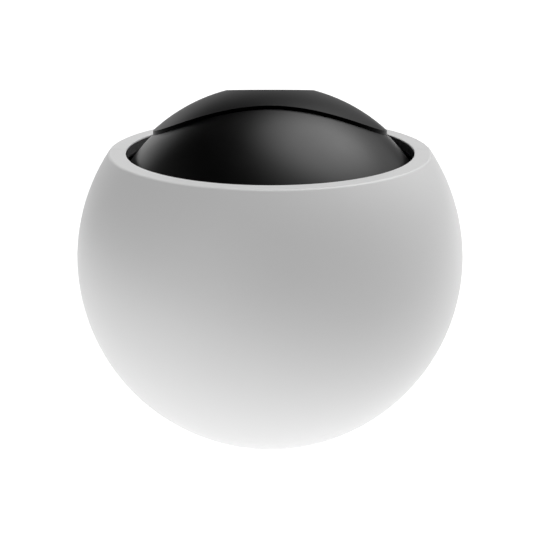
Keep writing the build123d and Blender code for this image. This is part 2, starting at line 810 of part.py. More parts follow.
with BuildPart() as dust_mesh:
    mesh_low = diffuser_low - mesh_thick
    with BuildSketch(Plane.XY.offset(mesh_low)):
        Circle(sphere_reach(shell_inner_r, diffuser_low) - ring_clearance)
        Circle(pillar_ring + pillar_r + ring_clearance, mode=Mode.SUBTRACT)
    extrude(amount=mesh_thick)
dust_mesh.part.label = "dust_mesh"
export_step(dust_mesh.part, "parts/dust_mesh.step")

# ======================= dome =======================
cup_base = cup_low + cup_floor

# everything that hangs from the dome's inside: spring cups, board posts and screw bosses
with BuildPart() as dome_bosses:
    with Locations((post_x, post_y), (-post_x, post_y)):
        disc(cup_r + cup_wall, cup_low, centre_z + dome_r)
    with Locations(*board_posts):
        disc(board_post_r, control_top, centre_z + dome_r)
    with Locations(ball_centre):
        Sphere(floor_r - floor_thick / 2, mode=Mode.INTERSECT)

with BuildPart() as rim_bosses:
    with PolarLocations(pillar_ring, 4, start_angle=corner_angle):
        disc(pillar_r, dome_low, centre_z + dome_r)
    with Locations(ball_centre):
        Sphere(dome_r - dome_wall / 2, mode=Mode.INTERSECT)

# floor of the pocket that the cap sinks into
with BuildPart() as pocket_floor:
    with BuildSketch(Plane.XY.offset(dome_low)):
        add(oval_plan(cap_clearance + dome_wall))
    extrude(amount=dome_r)
    with Locations(ball_centre):
        Sphere(dome_r - dome_wall / 2, mode=Mode.INTERSECT)
        Sphere(floor_inner_r, mode=Mode.SUBTRACT)

with BuildPart() as pocket_room:
    with BuildSketch(Plane.XY.offset(dome_low)):
        add(oval_plan(cap_clearance))
    extrude(amount=dome_r)
    with Locations(ball_centre):
        Sphere(floor_r, mode=Mode.SUBTRACT)

with BuildPart() as dome:
    with BuildSketch(Plane.XZ):
        add(ball_slice(dome_r, dome_low, centre_z + dome_r))
        add(ball_slice(dome_inner_r, dome_low, centre_z + dome_r), mode=Mode.SUBTRACT)
    revolve(axis=Axis.Z)
    add(pocket_floor.part)
    add(dome_bosses.part)
    add(rim_bosses.part)
    add(pocket_room.part, mode=Mode.SUBTRACT)
    # room for the pad's housing, and the spring cups' insides
    with Locations((0, housing_y)):
        disc(housing_r + housing_room, control_top + hole_clearance, centre_z + ball_r, Mode.SUBTRACT)
    with Locations((post_x, post_y), (-post_x, post_y)):
        disc(cup_r, cup_base, centre_z + ball_r, Mode.SUBTRACT)
        disc(post_r + hole_clearance, cup_low, cup_base, Mode.SUBTRACT)
    with Locations(*board_posts):
        hole_end = control_top + board_post_grip + hole_clearance
        disc(small_screw[0] + screw_clearance, control_top, hole_end, Mode.SUBTRACT)
    with PolarLocations(pillar_ring, 4, start_angle=corner_angle):
        hole_end = dome_low + dome_screw_grip + hole_clearance
        disc(large_screw[0] + screw_clearance, dome_low, hole_end, Mode.SUBTRACT)
dome.part.label = "dome"
export_step(dome.part, "parts/dome.step")

with BuildPart() as dome_screws:
    with PolarLocations(pillar_ring, 4, start_angle=corner_angle):
        with Locations((0, 0, baffle_low)):
            screw_up(large_screw, dome_low - baffle_low + dome_screw_grip)
dome_screws.part.label = "dome_screws"
export_step(dome_screws.part, "parts/dome_screws.step")

# ======================= pressable cap =======================
post_end = cup_low - ring_clearance
pad_low = pad_distance - pad_thick
housing_low = pad_distance - housing_depth
with BuildPart() as control_cap:
    with BuildSketch(Plane.XY.offset(dome_low)):
        add(oval_plan(0))
    extrude(amount=dome_r)
    with Locations(ball_centre):
        Sphere(cap_inner_r, mode=Mode.SUBTRACT)
    with BuildSketch(pad_plane.offset(housing_low)):
        Circle(housing_r)
    extrude(amount=housing_depth)
    # flat seats for the springs, and the posts through them
    with Locations((post_x, post_y), (-post_x, post_y)):
        disc(cup_r, post_end, seat_z, Mode.SUBTRACT)
        disc(cup_r - cap_clearance, seat_z, centre_z + dome_r)
        disc(post_r, post_end, seat_z + seat_drop)
    with Locations(ball_centre):
        Sphere(cap_r, mode=Mode.INTERSECT)
    split(bisect_by=pad_plane.offset(pad_distance), keep=Keep.BOTTOM)
    # seat of the pad and the room for its board
    with BuildSketch(pad_plane.offset(pad_low)):
        Circle(pad_r + pad_gap)
    extrude(amount=2 * pad_thick, mode=Mode.SUBTRACT)
    with BuildSketch(pad_plane.offset(housing_low + housing_floor)):
        Circle(pad_r - pad_ledge)
    extrude(amount=housing_depth, mode=Mode.SUBTRACT)
    with Locations((post_x, post_y), (-post_x, post_y)):
        hole_end = post_end + cap_screw_length + hole_clearance
        disc(small_screw[0] + screw_clearance, post_end, hole_end, Mode.SUBTRACT)
    # plunger that meets the switch
    with Locations((0, housing_y)):
        disc(stem_r + plunger_wall, stem_top, housing_middle)
control_cap.part.label = "control_cap"
export_step(control_cap.part, "parts/control_cap.step")

with BuildPart() as touch_pad:
    with BuildSketch(pad_plane.offset(pad_low)):
        Circle(pad_r)
        Circle(light_r + screw_clearance, mode=Mode.SUBTRACT)
        with PolarLocations(mic_ring, 4, start_angle=corner_angle):
            Circle(mic_hole_r, mode=Mode.SUBTRACT)
    extrude(amount=pad_thick)
touch_pad.part.label = "touch_pad"
export_step(touch_pad.part, "parts/touch_pad.step")

with BuildPart() as light_dot:
    with BuildSketch(pad_plane.offset(pad_low)):
        Circle(light_r)
    extrude(amount=pad_thick)
light_dot.part.label = "light_dot"
export_step(light_dot.part, "parts/light_dot.step")

pad_board_low = housing_low + housing_floor
pad_board_top = pad_board_low + pad_board_thick
with BuildPart() as pad_board:
    with BuildSketch(pad_plane.offset(pad_board_low)):
        Circle(pad_r - pad_ledge - ring_clearance)
    extrude(amount=pad_board_thick)
pad_board.part.label = "pad_board"
export_step(pad_board.part, "parts/pad_board.step")

with BuildPart() as microphones:
    with BuildSketch(pad_plane.offset(pad_board_top)):
        with PolarLocations(mic_ring, 4, start_angle=corner_angle):
            Rectangle(mic_size[0], mic_size[1])
    extrude(amount=mic_size[2])
microphones.part.label = "microphones"
export_step(microphones.part, "parts/microphones.step")

with BuildPart() as cap_springs:
    spring_low = cup_base + spring_wire
    spring_length = seat_z - cup_base - 2 * spring_wire
    for side in (1, -1):
        start = (side * post_x + spring_r - spring_wire / 2, post_y, spring_low)
        with BuildLine(Plane(origin=(side * post_x, post_y, spring_low))) as coil:
            mean_r = spring_r - spring_wire / 2
            Helix(pitch=spring_length / spring_turns, height=spring_length, radius=mean_r)
        with BuildSketch(Plane(origin=start, x_dir=(1, 0, 0), z_dir=(0, 1, 0))):
            Circle(spring_wire / 2)
        sweep(path=coil.line, is_frenet=True)
cap_springs.part.label = "cap_springs"
export_step(cap_springs.part, "parts/cap_springs.step")

with BuildPart() as cap_screws:
    retainer = (small_screw[0], retainer_r, small_screw[2])
    with Locations((post_x, post_y, post_end), (-post_x, post_y, post_end)):
        screw_up(retainer, cap_screw_length)
cap_screws.part.label = "cap_screws"
export_step(cap_screws.part, "parts/cap_screws.step")

with BuildPart() as control_board:
    disc(control_board_r, control_low, control_top)
    with Locations(*board_posts):
        disc(small_screw[0] + hole_clearance, control_low, control_top, Mode.SUBTRACT)
    with Locations((post_x, post_y), (-post_x, post_y)):
        disc(cup_r + cup_wall + cap_clearance, control_low, control_top, Mode.SUBTRACT)
control_board.part.label = "control_board"
export_step(control_board.part, "parts/control_board.step")

with BuildPart() as control_screws:
    with Locations(*[(x, y, control_low) for x, y in board_posts]):
        screw_up(small_screw, board_thick + board_post_grip)
control_screws.part.label = "control_screws"
export_step(control_screws.part, "parts/control_screws.step")

with BuildPart() as switch_body:
    with Locations((0, housing_y, control_top)):
        Box(switch_size, switch_size, switch_height, align=upward)
    with Locations((0, housing_y)):
        bore_low = control_top + switch_height - stem_bore_depth
        disc(stem_r + screw_clearance, bore_low, stem_top, Mode.SUBTRACT)
switch_body.part.label = "switch_body"
export_step(switch_body.part, "parts/switch_body.step")

with BuildPart() as switch_stem:
    with Locations((0, housing_y)):
        disc(stem_r, bore_low + cap_travel + cap_clearance, stem_top)
switch_stem.part.label = "switch_stem"
export_step(switch_stem.part, "parts/switch_stem.step")

# ======================= main board =======================
with BuildPart() as main_board:
    disc(board_r, board_low, board_top)
    with PolarLocations(base_screw_ring, 4, start_angle=corner_angle):
        disc(tub_boss_r + cap_clearance, board_low, board_top, Mode.SUBTRACT)
    with PolarLocations(spacer_ring, 4, start_angle=spacer_angle):
        disc(medium_screw[0] + hole_clearance, board_low, board_top, Mode.SUBTRACT)
main_board.part.label = "main_board"
export_step(main_board.part, "parts/main_board.step")

with BuildPart() as board_spacers:
    with PolarLocations(spacer_ring, 4, start_angle=spacer_angle):
        disc(spacer_r, board_top, tub_low + spacer_socket)
        disc(medium_screw[0] + screw_clearance, board_top, board_top + spacer_bore, Mode.SUBTRACT)
board_spacers.part.label = "board_spacers"
export_step(board_spacers.part, "parts/board_spacers.step")

with BuildPart() as board_screws:
    with PolarLocations(spacer_ring, 4, start_angle=spacer_angle):
        with Locations((0, 0, board_low)):
            screw_up(medium_screw, board_thick + spacer_grip)
board_screws.part.label = "board_screws"
export_step(board_screws.part, "parts/board_screws.step")

with BuildPart() as shield_can:
    with Locations((0, 0, board_top)):
        Box(*shield_size, align=upward)
    fillet(shield_can.edges().filter_by(Axis.Z), radius=1)
shield_can.part.label = "shield_can"
export_step(shield_can.part, "parts/shield_can.step")

with BuildPart() as heat_sink:
    with Locations((*sink_place, board_top)):
        Box(*sink_size, align=upward)
    fin_pitch = sink_size[0] / sink_fins
    with Locations((*sink_place, board_top + fin_gap)):
        with GridLocations(fin_pitch, 0, sink_fins - 1, 1):
            Box(fin_gap, sink_size[1], sink_size[2], align=upward, mode=Mode.SUBTRACT)
heat_sink.part.label = "heat_sink"
export_step(heat_sink.part, "parts/heat_sink.step")

with BuildPart() as capacitors:
    with Locations((0, capacitor_y)):
        with GridLocations(capacitor_pitch, 0, 3, 1):
            disc(capacitor_r, board_top, board_top + capacitor_height)
capacitors.part.label = "capacitors"
export_step(capacitors.part, "parts/capacitors.step")

# ======================= rear port panel =======================
flange_low = port_backing - port_flange_thick
plate_back = port_distance - port_plate
inlet_mouth = port_distance - inlet_sink
with BuildPart() as port_panel:
    with BuildSketch(port_plane.offset(flange_low)):
        SlotOverall(port_length, port_height)
    extrude(amount=port_distance - flange_low)
    with BuildSketch(port_plane.offset(flange_low)):
        SlotOverall(*port_flange)
    extrude(amount=port_flange_thick)
    with BuildSketch(port_plane.offset(flange_low)):
        SlotOverall(port_length - 2 * port_wall, port_height - 2 * port_wall)
    extrude(amount=plate_back - flange_low, mode=Mode.SUBTRACT)
    with BuildSketch(port_plane.offset(flange_low)):
        with GridLocations(2 * port_screw_x, 1, 2, 1):
            Circle(small_screw[0] + hole_clearance)
        with Locations((inlet_x, 0)):
            SlotOverall(inlet_width + cap_clearance, inlet_height + cap_clearance)
        with Locations((button_x, 0)):
            Circle(button_r + port_part_gap)
        with Locations((knob_x + knob_travel / 2, 0)):
            knob_slot = knob_length + knob_travel + 2 * cap_clearance
            Rectangle(knob_slot, knob_height + 2 * cap_clearance)
    extrude(amount=ball_r, mode=Mode.SUBTRACT)
port_panel.part.label = "port_panel"
export_step(port_panel.part, "parts/port_panel.step")

board_face = flange_low  # the port board lies against the panel's flange
with BuildPart() as port_board:
    with BuildSketch(port_plane.offset(board_face - board_thick)):
        SlotOverall(port_flange[0] - port_board_inset, port_height)
        with GridLocations(2 * port_screw_x, 1, 2, 1):
            Circle(small_screw[0] + hole_clearance, mode=Mode.SUBTRACT)
        with Locations((inlet_x, 0)):
            inlet_hole = (inlet_width + cap_clearance, inlet_height + cap_clearance)
            SlotOverall(*inlet_hole, mode=Mode.SUBTRACT)
    extrude(amount=board_thick)
port_board.part.label = "port_board"
export_step(port_board.part, "parts/port_board.step")

with BuildPart() as panel_screws:
    grip = board_thick + port_flange_thick + port_screw_grip
    with BuildSketch(port_plane.offset(board_face - board_thick)):
        with GridLocations(2 * port_screw_x, 1, 2, 1):
            Circle(small_screw[0])
    extrude(amount=grip)
    with BuildSketch(port_plane.offset(board_face - board_thick)):
        with GridLocations(2 * port_screw_x, 1, 2, 1):
            Circle(small_screw[1])
    extrude(amount=-small_screw[2])
panel_screws.part.label = "panel_screws"
export_step(panel_screws.part, "parts/panel_screws.step")

inlet_back = inlet_mouth - inlet_depth
with BuildPart() as power_inlet:
    with BuildSketch(port_plane.offset(inlet_back)):
        with Locations((inlet_x, 0)):
            SlotOverall(inlet_width, inlet_height)
    extrude(amount=inlet_depth)
    with BuildSketch(port_plane.offset(inlet_back + inlet_wall)):
        with Locations((inlet_x, 0)):
            SlotOverall(inlet_width - 2 * inlet_wall, inlet_height - 2 * inlet_wall)
    extrude(amount=inlet_depth, mode=Mode.SUBTRACT)
power_inlet.part.label = "power_inlet"
export_step(power_inlet.part, "parts/power_inlet.step")

with BuildPart() as inlet_tongue:
    with BuildSketch(port_plane.offset(inlet_back + inlet_wall)):
        with Locations((inlet_x, 0)):
            Rectangle(inlet_width - tongue_inset, tongue_thick)
    extrude(amount=inlet_depth - tongue_end)
inlet_tongue.part.label = "inlet_tongue"
export_step(inlet_tongue.part, "parts/inlet_tongue.step")

with BuildPart() as mic_switch:
    with BuildSketch(port_plane.offset(board_face)):
        with Locations((knob_x + knob_travel / 2, 0)):
            Rectangle(knob_slot + mic_switch_margin[0], knob_height + mic_switch_margin[1])
    extrude(amount=knob_body)
mic_switch.part.label = "mic_switch"
export_step(mic_switch.part, "parts/mic_switch.step")

with BuildPart() as mic_knob:
    with BuildSketch(port_plane.offset(board_face + knob_body + port_part_gap)):
        with Locations((knob_x, 0)):
            Rectangle(knob_length, knob_height)
    extrude(amount=port_distance + knob_stand - board_face - knob_body - port_part_gap)
    # grip grooves across the knob's top
    with BuildSketch(port_plane.offset(port_distance + knob_stand - knob_groove)):
        with Locations((knob_x, 0)):
            with GridLocations(groove_pitch, 1, 2, 1):
                Rectangle(groove_width, knob_height)
    extrude(amount=knob_groove, mode=Mode.SUBTRACT)
mic_knob.part.label = "mic_knob"
export_step(mic_knob.part, "parts/mic_knob.step")

button_back = board_face + port_switch_height + button_travel + 2 * port_part_gap
with BuildPart() as pairing_switch:
    with BuildSketch(port_plane.offset(board_face)):
        with Locations((button_x, 0)):
            Rectangle(port_switch_side, port_switch_side)
    extrude(amount=port_switch_height)
pairing_switch.part.label = "pairing_switch"
export_step(pairing_switch.part, "parts/pairing_switch.step")

with BuildPart() as pairing_button:
    with BuildSketch(port_plane.offset(button_back)):
        with Locations((button_x, 0)):
            Circle(button_r)
    extrude(amount=port_distance + button_stand - button_back)
    with BuildSketch(port_plane.offset(button_back)):
        with Locations((button_x, 0)):
            Circle(button_r + button_rim)
    extrude(amount=plate_back - port_part_gap - button_back)
pairing_button.part.label = "pairing_button"
export_step(pairing_button.part, "parts/pairing_button.step")

# ======================= cables =======================
with BuildPart() as control_ribbon:
    end_gap = ribbon_thick / 2
    add(
        flat_cable(
            Plane.YZ,
            ribbon_thick,
            ribbon_width,
            (-ribbon_start, control_low - end_gap),
            (-ribbon_corner, control_low - end_gap),
            (-ribbon_reach, dome_low + ribbon_slack),
            (-ribbon_reach, tub_low - cable_clear),
            (-ribbon_bend[0], tub_low - ribbon_bend[1]),
            (-ribbon_end, board_top + end_gap),
        )
    )
control_ribbon.part.label = "control_ribbon"
export_step(control_ribbon.part, "parts/control_ribbon.step")

# the lead leaves the basket's wall below one of its windows
lead_z = basket_low + lead_lift
lead_start = neck_r + (basket_r - neck_r) * (lead_z - neck_z) / (baffle_top - neck_z)
with BuildPart() as speaker_lead:
    add(
        flat_cable(
            Plane.XZ,
            lead_thick,
            lead_width,
            (lead_start, lead_z),
            (lead_reach - lead_bends[0], basket_low),
            (lead_reach, tub_floor + lead_fall),
            (lead_reach, tub_low - cable_clear),
            (lead_reach - lead_bends[1], board_top + lead_drop),
            (lead_reach - lead_bends[2], board_top + lead_thick / 2),
        )
    )
speaker_lead.part.label = "speaker_lead"
export_step(speaker_lead.part, "parts/speaker_lead.step")
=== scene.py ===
from math import cos, pi, radians, sin

import bpy
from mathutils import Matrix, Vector


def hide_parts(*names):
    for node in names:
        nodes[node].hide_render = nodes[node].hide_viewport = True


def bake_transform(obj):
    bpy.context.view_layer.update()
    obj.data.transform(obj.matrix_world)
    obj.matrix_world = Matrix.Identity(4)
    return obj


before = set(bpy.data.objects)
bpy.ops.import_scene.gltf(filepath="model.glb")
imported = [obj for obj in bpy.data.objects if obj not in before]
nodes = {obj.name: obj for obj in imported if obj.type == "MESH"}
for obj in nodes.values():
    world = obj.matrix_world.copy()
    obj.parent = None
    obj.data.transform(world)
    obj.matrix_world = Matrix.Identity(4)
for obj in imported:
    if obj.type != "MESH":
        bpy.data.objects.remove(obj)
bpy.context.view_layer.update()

# ---------------------------------------------------------------------------------------------
# The studio: one camera in front and above, a pale sweep under the speaker, and soft lights.
# The sweep is lit from inside like a light table, so the ball's underside stays bright.
# ---------------------------------------------------------------------------------------------
ball_centre = Vector((0.0, 0.0, 0.070))
view_distance = 0.450
view_height_angle = radians(18.77)
frame_lift = 0.00513  # how far the view is aimed below the ball's centre

toward_camera = Vector((0.0, -cos(view_height_angle), sin(view_height_angle)))
view_up = Vector((0.0, sin(view_height_angle), cos(view_height_angle)))
lens = bpy.data.cameras.new("front_view")
lens.sensor_width = 36.0
lens.lens = 76.04
lens.clip_start = 0.01
lens.clip_end = 50.0
camera = bpy.data.objects.new("front_view", lens)
bpy.context.scene.collection.objects.link(camera)
camera.location = ball_centre + toward_camera * view_distance - view_up * frame_lift
camera.rotation_euler = (-toward_camera).to_track_quat("-Z", "Y").to_euler()
bpy.context.scene.camera = camera
bpy.context.scene.view_settings.view_transform = "Standard"


class Wire:
    """One output socket of a finish's nodes. Sums and products of wires add their Math nodes."""

    def __init__(self, finish, socket):
        self.finish = finish
        self.socket = socket

    def math(self, operation, first, second):
        return self.finish.node("ShaderNodeMath", {"operation": operation}, {0: first, 1: second})

    def __add__(self, other):
        return self.math("ADD", self, other)

    def __sub__(self, other):
        return self.math("SUBTRACT", self, other)

    def __rsub__(self, other):
        return self.math("SUBTRACT", other, self)

    def __mul__(self, other):
        return self.math("MULTIPLY", self, other)

    def __gt__(self, other):
        return self.math("GREATER_THAN", self, other)

    __radd__ = __add__
    __rmul__ = __mul__


class Finish:
    """A material built one node at a time."""

    def __init__(self, name):
        self.material = bpy.data.materials.new(name)
        self.material.use_nodes = True
        self.tree = self.material.node_tree
        self.tree.nodes.clear()

    def node(self, kind, settings=(), inputs=(), output=0):
        made = self.tree.nodes.new(kind)
        settings = dict(settings)
        stops = settings.pop("stops", None)
        for key, value in settings.items():
            setattr(made, key, value)
        if stops:
            ramp = made.color_ramp.elements
            while len(ramp) < len(stops):
                ramp.new(1.0)
            for element, (place, shade) in zip(ramp, stops):
                element.position = place
                element.color = (*shade, 1.0) if isinstance(shade, tuple) else (shade, shade, shade, 1.0)
        for key, value in dict(inputs).items():
            if isinstance(value, Wire):
                self.tree.links.new(value.socket, made.inputs[key])
            elif isinstance(value, tuple) and len(value) == 3 and made.inputs[key].type == "RGBA":
                made.inputs[key].default_value = (*value, 1.0)
            else:
                made.inputs[key].default_value = value
        return Wire(self, made.outputs[output]) if made.outputs else None

    def place(self, stretch=(1.0, 1.0, 1.0), turn=(0.0, 0.0, 0.0)):
        """Place on the piece in metres, stretched along its axes."""
        spot = self.node("ShaderNodeTexCoord", output="Object")
        if stretch == (1.0, 1.0, 1.0) and turn == (0.0, 0.0, 0.0):
            return spot
        return self.node("ShaderNodeMapping", {}, {"Vector": spot, "Scale": stretch, "Rotation": turn})

    def noise(self, scale, detail=2.0, where=None, rough=0.5):
        spot = where or self.place()
        return self.node(
            "ShaderNodeTexNoise", {}, {"Vector": spot, "Scale": scale, "Detail": detail, "Roughness": rough}
        )

    def between(self, mask, dark, light):
        """Colour that goes from dark to light with a mask."""
        mixed = {"data_type": "RGBA"}
        return self.node("ShaderNodeMix", mixed, {0: mask, 6: (*dark, 1.0), 7: (*light, 1.0)}, output=2)

    def relief(self, height, depth, strength=1.0):
        """Normal of a surface whose relief is depth metres high."""
        return self.node("ShaderNodeBump", {}, {"Height": height, "Distance": depth, "Strength": strength})

    def skin(self, **inputs):
        """Ends the finish in one glossy or matt skin, with its sockets by name."""
        named = {key.replace("_", " ").title().replace("Ior", "IOR"): value for key, value in inputs.items()}
        shader = self.node("ShaderNodeBsdfPrincipled", {}, named)
        self.node("ShaderNodeOutputMaterial", {}, {"Surface": shader})
        return self.material


def sheet_floor(name, half, height):
    """Flat square that the speaker stands on."""
    mesh = bpy.data.meshes.new(name)
    corners = [(-half, -half, height), (half, -half, height), (half, half, height), (-half, half, height)]
    mesh.from_pydata(corners, [], [(0, 1, 2, 3)])
    made = bpy.data.objects.new(name, mesh)
    bpy.context.scene.collection.objects.link(made)
    return made


def faded(finish, value, far, near, curve="SMOOTHSTEP"):
    """Mask that is 0 at far and 1 at near."""
    limits = {"Value": value, "From Min": far, "From Max": near}
    return finish.node("ShaderNodeMapRange", {"interpolation_type": curve}, limits)


def light_table():
    """Pale matt sheet over a light table, brightest behind the speaker and at its left."""
    surround_glow = 0.5
    backdrop_glow = 1.02
    backdrop_shift = (0.0, -0.932, 0.0)  # centre of the bright oval behind the speaker, in half widths
    backdrop_scale = (1.333, 0.424, 0.0)  # one over its half widths in metres
    backdrop_edge = (1.08, 0.97)  # where its soft edge begins and ends, in half widths

    finish = Finish("light_table")
    spot = finish.place()
    oval = {"Vector": spot, "Location": backdrop_shift, "Scale": backdrop_scale}
    reach_out = finish.node("ShaderNodeMapping", {}, oval)
    out = finish.node("ShaderNodeVectorMath", {"operation": "LENGTH"}, {0: reach_out}, "Value")
    behind = faded(finish, out, *backdrop_edge)
    glow = surround_glow
    for centre, reach, strength in (
        ((-0.13, -0.12, 0.0), 0.20, 1.35),
        ((-0.45, 0.05, 0.0), 0.45, 0.30),
        ((-0.20, 0.02, 0.0), 0.20, 0.15),
        ((-0.30, -0.30, 0.0), 0.36, 0.40),
        ((0.26, -0.18, 0.0), 0.46, -0.48),
    ):
        away = finish.node("ShaderNodeVectorMath", {"operation": "DISTANCE"}, {0: spot, 1: centre}, "Value")
        glow = faded(finish, away, reach, 0.0, "SMOOTHERSTEP") * strength + glow
    glow = glow * (1.0 - behind) + behind * backdrop_glow
    grain = finish.noise(180.0)
    paper = finish.between(grain, (0.24, 0.24, 0.24), (0.26, 0.26, 0.26))
    matt = finish.node("ShaderNodeBsdfDiffuse", {}, {"Color": paper})
    lit = finish.node("ShaderNodeEmission", {}, {"Color": glow, "Strength": 1.0})
    both = finish.node("ShaderNodeAddShader", {}, {0: matt, 1: lit})
    finish.node("ShaderNodeOutputMaterial", {}, {"Surface": both})
    return finish.material


floor = sheet_floor("studio_floor", 4.0, 0.0)
floor.data.materials.append(light_table())


class Studio(Finish):
    """The room's soft lights, each a round glow in one direction."""

    def __init__(self, name):
        self.material = bpy.data.worlds.new(name)
        self.material.use_nodes = True
        self.tree = self.material.node_tree
        self.tree.nodes.clear()

    def lit_from(self, turn, rise, reach, strength):
        """Light from turn degrees left of +X and rise degrees up, reach degrees to its edge."""
        level = cos(radians(rise))
        way = (level * cos(radians(turn)), level * sin(radians(turn)), sin(radians(rise)))
        aim = self.node("ShaderNodeTexCoord", output="Generated")
        near = self.node("ShaderNodeVectorMath", {"operation": "DOT_PRODUCT"}, {0: aim, 1: way}, "Value")
        return faded(self, near, cos(radians(reach)), 1.0) * strength


room = Studio("studio")
sky = room.lit_from(30.0, 62.0, 36.0, 3.85)  # large soft box, high on the right and behind
sky = sky + room.lit_from(330.0, 62.0, 36.0, 0.44)
sky = sky + room.lit_from(36.0, 34.0, 36.0, 0.90)
sky = sky + room.lit_from(90.0, 10.0, 34.0, 0.48)  # pale wall behind
sky = sky + room.lit_from(180.0, 10.0, 44.0, 0.20)
sky = sky + room.lit_from(124.0, 9.0, 24.0, 0.9)  # narrow panel, low at the rear left
sky = sky + room.lit_from(234.0, 10.0, 34.0, 1.05)  # low soft box at the front left
shine = room.node("ShaderNodeBackground", {}, {"Color": sky})
room.node("ShaderNodeOutputWorld", {}, {"Surface": shine})
bpy.context.scene.world = room.material

# ---------------------------------------------------------------------------------------------
# Outer shell: two thin bowls of satin off-white plastic with a fine mineral grain, joined at the
# sides by a hairline seam over hidden steel dowels. The flat rim and its edges are moulded in one.
# ---------------------------------------------------------------------------------------------
def dress(material, *names):
    """Gives CAD nodes their finish, in every slot that they have."""
    for name in names:
        for place in nodes[name].material_slots:
            place.material = material


def shell_satin():
    seam_shade_width = 0.0006  # width of the painted shade on each side of the seam, standing in for its softened edges
    seam_shade = 6.0

    finish = Finish("shell_satin")
    grain = finish.noise(5200.0, 3.0, rough=0.7)
    cloud = finish.noise(22.0, 2.0)
    tone = grain * 0.6 + cloud * 0.4
    height = grain + finish.noise(1500.0, 1.0) * 0.5
    across = finish.node("ShaderNodeSeparateXYZ", {}, {"Vector": finish.place()}, "Y")
    from_seam = finish.node("ShaderNodeMath", {"operation": "ABSOLUTE"}, {0: across})
    seam_shade_mask = faded(finish, from_seam, seam_shade_width, 0.0)
    # painted shade: the colour darkens in a thin band on each side of the seam
    shade = tone - seam_shade_mask * seam_shade
    return finish.skin(
        base_color=finish.between(shade, (0.755, 0.755, 0.755), (0.825, 0.825, 0.825)),
        roughness=finish.noise(2600.0, 1.0) * 0.12 + 0.36,
        normal=finish.relief(height, 0.000012, 0.5),
    )


def turned_steel():
    finish = Finish("turned_steel")
    lathe_lines = finish.noise(900.0, 2.0, finish.place(stretch=(1.0, 1.0, 6.0)))
    return finish.skin(
        base_color=finish.between(lathe_lines, (0.46, 0.46, 0.47), (0.60, 0.60, 0.61)),
        metallic=1.0,
        roughness=lathe_lines * 0.15 + 0.24,
        normal=finish.relief(lathe_lines, 0.00001, 0.4),
    )


steel = turned_steel()
dress(shell_satin(), "front_shell", "rear_shell")
dress(steel, "seam_dowels")

# ---------------------------------------------------------------------------------------------
# Throat ring: a glossy black ring snapped into the rim from inside. It lines the gap that the
# sound comes out of and hides the shell's raw edge.
# ---------------------------------------------------------------------------------------------
def black_gloss(name, shade, rough, ripple, sheen=0.5):
    """Polished black plastic, with the faint ripple of a mould and specks of fine dust."""
    finish = Finish(name)
    specks = finish.noise(2400.0, 1.0) > 0.72
    wave = finish.noise(420.0, 1.0)
    light = tuple(channel * 1.5 + 0.002 for channel in shade)
    return finish.skin(
        base_color=finish.between(specks, shade, light),
        roughness=finish.noise(95.0, 3.0) * 0.07 + specks * 0.12 + rough,
        specular_ior_level=sheen,
        normal=finish.relief(wave, ripple, 0.5),
    )


# painted reflection: the glossy black ring's base colour is lightened to grey to paint in the sheen it shows
# in the gap
dress(black_gloss("throat_gloss_painted_sheen", (0.17, 0.17, 0.173), 0.22, 0.000004, 0.8), "throat_ring")

# ---------------------------------------------------------------------------------------------
# Base: a moulded black plate in the flat of the ball, screwed up through the shell into the tub.
# A soft ring in its groove is the foot, and a steel disc above it keeps the speaker steady.
# ---------------------------------------------------------------------------------------------
def moulded_plastic(name, shade, coarse=1.0, rough=0.55):
    """Black plastic from a spark-eroded mould."""
    finish = Finish(name)
    pits = finish.noise(3200.0 / coarse, 3.0, rough=0.6)
    patch = finish.noise(35.0, 2.0)
    light = tuple(channel * 1.35 + 0.006 for channel in shade)
    return finish.skin(
        base_color=finish.between(pits * 0.6 + patch * 0.4, shade, light),
        roughness=pits * 0.2 + rough,
        normal=finish.relief(pits, 0.00003 * coarse, 0.6),
    )


def foot_rubber():
    finish = Finish("foot_rubber")
    stipple = finish.node("ShaderNodeTexVoronoi", {}, {"Vector": finish.place(), "Scale": 1600.0})
    dust = finish.noise(160.0, 4.0)
    return finish.skin(
        base_color=finish.between(dust, (0.030, 0.030, 0.031), (0.075, 0.074, 0.072)),
        roughness=stipple * 0.1 + 0.82,
        specular_ior_level=0.3,
        normal=finish.relief(stipple, 0.00005, 0.6),
    )


def cast_weight():
    finish = Finish("cast_weight")
    scale = finish.noise(260.0, 5.0, rough=0.65)
    return finish.skin(
        base_color=finish.between(scale, (0.20, 0.20, 0.21), (0.36, 0.36, 0.37)),
        metallic=0.9,
        roughness=scale * 0.25 + 0.4,
        normal=finish.relief(scale, 0.00006, 0.6),
    )


tub_black = moulded_plastic("tub_black", (0.022, 0.022, 0.023), 1.6, 0.6)
dress(moulded_plastic("base_black", (0.030, 0.030, 0.031)), "base_plate")
dress(foot_rubber(), "foot_ring")
dress(steel, "base_screws")
dress(cast_weight(), "ballast")

# ---------------------------------------------------------------------------------------------
# Tub and baffle: the woofer's sealed enclosure, moulded in ribbed black plastic. A foam gasket
# and a foam edge seal keep the air in, and steel screws clamp the baffle down on the tub.
# ---------------------------------------------------------------------------------------------
def open_foam():
    finish = Finish("open_foam")
    cells = finish.node("ShaderNodeTexVoronoi", {}, {"Vector": finish.place(), "Scale": 1500.0})
    return finish.skin(
        base_color=finish.between(cells, (0.012, 0.012, 0.012), (0.060, 0.060, 0.062)),
        roughness=0.95,
        specular_ior_level=0.1,
        normal=finish.relief(cells, 0.0003, 0.9),
    )


foam = open_foam()
dress(tub_black, "tub", "baffle")
dress(foam, "tub_gasket", "edge_seal")
dress(steel, "baffle_screws")

